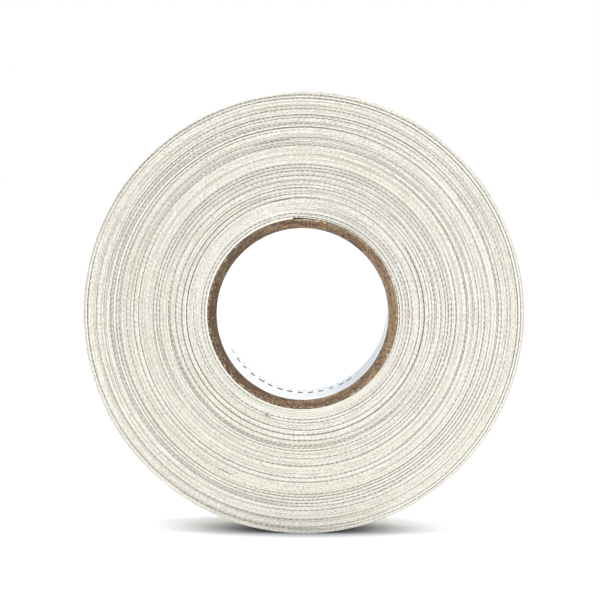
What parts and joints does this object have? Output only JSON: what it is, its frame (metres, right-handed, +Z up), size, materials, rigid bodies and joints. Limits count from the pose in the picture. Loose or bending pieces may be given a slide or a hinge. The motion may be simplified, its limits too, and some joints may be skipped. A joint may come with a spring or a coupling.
{
  "type": "grip tape roll",
  "caption": "Roll of off-white cloth grip tape wound on a brown paperboard core with a white paper liner; its free end lifts and curls back off the outer turn.",
  "frame": {"origin": "on the surface the roll stands on, under the roll's centre, at the lowest facet of its outer turn", "axes": "+Z up; +Y along the roll's axis, from its front side to its back side; +X to the right as the front side is looked at"},
  "size_m": [0.0987, 0.024, 0.0988],
  "materials": {
    "liner_paper": "matte",
    "board_1": "matte",
    "board_2": "matte",
    "board_3": "matte",
    "board_4": "matte",
    "bonded_tape": "satin",
    "cotton_tape": "matte"
  },
  "bodies": {
    "roll": {"core_liner": "liner_paper", "core_ply_1": "board_1", "core_ply_2": "board_2", "core_ply_3": "board_3", "core_ply_4": "board_4", "tape_core_turns": "bonded_tape", "tape_bank_1": "cotton_tape", "tape_bank_2": "cotton_tape", "tape_bank_3": "cotton_tape", "tape_bank_4": "cotton_tape", "tape_outer_turn": "cotton_tape"},
    "tape_end_1": {"tape_end_1": "cotton_tape"},
    "tape_end_2": {"tape_end_2": "cotton_tape"},
    "tape_end_3": {"tape_end_3": "cotton_tape"},
    "tape_end_4": {"tape_end_4": "cotton_tape"},
    "tape_end_5": {"tape_end_5": "cotton_tape"},
    "tape_end_6": {"tape_end_6": "cotton_tape"}
  },
  "joints": [
    {"name": "tape_end_peel_1", "type": "hinge", "parent": "roll", "child": "tape_end_1", "pos_m": [0.0314, 0, 0.08759], "axis": [0, 1, 0], "range_deg": [0, 25]},
    {"name": "tape_end_peel_2", "type": "hinge", "parent": "tape_end_1", "child": "tape_end_2", "pos_m": [0.02614, 0, 0.09137], "axis": [0, 1, 0], "range_deg": [0, 25]},
    {"name": "tape_end_peel_3", "type": "hinge", "parent": "tape_end_2", "child": "tape_end_3", "pos_m": [0.02043, 0, 0.09443], "axis": [0, 1, 0], "range_deg": [0, 25]},
    {"name": "tape_end_peel_4", "type": "hinge", "parent": "tape_end_3", "child": "tape_end_4", "pos_m": [0.01437, 0, 0.09672], "axis": [0, 1, 0], "range_deg": [0, 25]},
    {"name": "tape_end_peel_5", "type": "hinge", "parent": "tape_end_4", "child": "tape_end_5", "pos_m": [0.00807, 0, 0.0982], "axis": [0, 1, 0], "range_deg": [0, 25]},
    {"name": "tape_end_peel_6", "type": "hinge", "parent": "tape_end_5", "child": "tape_end_6", "pos_m": [0.00162, 0, 0.09884], "axis": [0, 1, 0], "range_deg": [0, 25]}
  ],
  "couplings": [
    {"joint": "tape_end_peel_2", "follows": "tape_end_peel_1", "ratio": 1},
    {"joint": "tape_end_peel_3", "follows": "tape_end_peel_1", "ratio": 1},
    {"joint": "tape_end_peel_4", "follows": "tape_end_peel_1", "ratio": 1},
    {"joint": "tape_end_peel_5", "follows": "tape_end_peel_1", "ratio": 1},
    {"joint": "tape_end_peel_6", "follows": "tape_end_peel_1", "ratio": 1}
  ]
}
